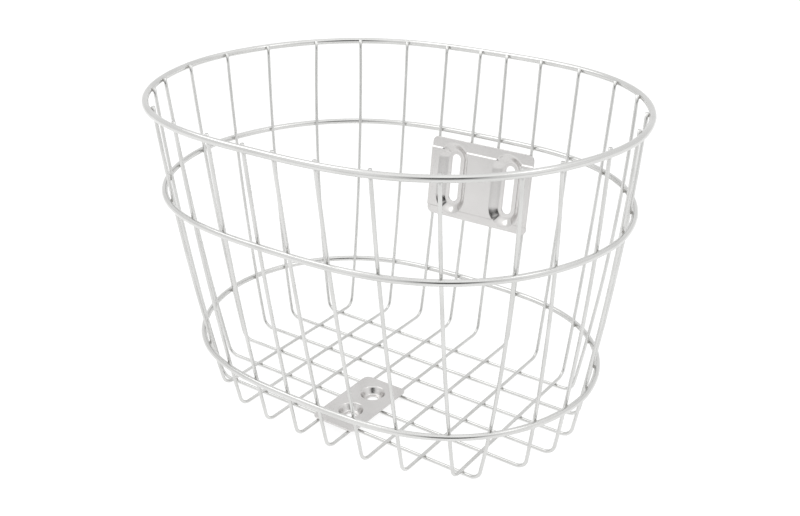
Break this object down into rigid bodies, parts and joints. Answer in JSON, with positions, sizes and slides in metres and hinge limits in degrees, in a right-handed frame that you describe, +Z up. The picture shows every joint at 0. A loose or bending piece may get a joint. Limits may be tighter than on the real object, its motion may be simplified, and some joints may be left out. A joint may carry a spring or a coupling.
{
  "type": "bicycle basket",
  "caption": "Oval wire basket for a bicycle, with rings welded round bent uprights and pressed plates that bolt it to the handlebar and carrier.",
  "frame": {"origin": "middle of the footprint, on the ground under the lowest floor wires", "axes": "+X across the bicycle along the basket's longest extent, +Y back towards the handlebar, where the rear plate is, +Z up"},
  "size_m": [0.3728, 0.2956, 0.2416],
  "materials": {
    "rim_steel": "polished stainless",
    "ring_steel": "polished stainless",
    "wire_steel": "polished stainless",
    "plate_steel": "electropolished sheet, slightly satin"
  },
  "bodies": {
    "root": {"rim_ring": "rim_steel", "middle_ring": "ring_steel", "lower_ring": "ring_steel", "rear_mounting_plate": "plate_steel", "bottom_mounting_plate": "plate_steel", "fore_aft_wire_1": "wire_steel", "fore_aft_wire_2": "wire_steel", "fore_aft_wire_3": "wire_steel", "fore_aft_wire_4": "wire_steel", "fore_aft_wire_5": "wire_steel", "fore_aft_wire_6": "wire_steel", "fore_aft_wire_7": "wire_steel", "fore_aft_wire_8": "wire_steel", "cross_wire_1": "wire_steel", "cross_wire_2": "wire_steel", "cross_wire_3": "wire_steel", "cross_wire_4": "wire_steel", "cross_wire_5": "wire_steel", "cross_wire_6": "wire_steel"}
  },
  "joints": []
}
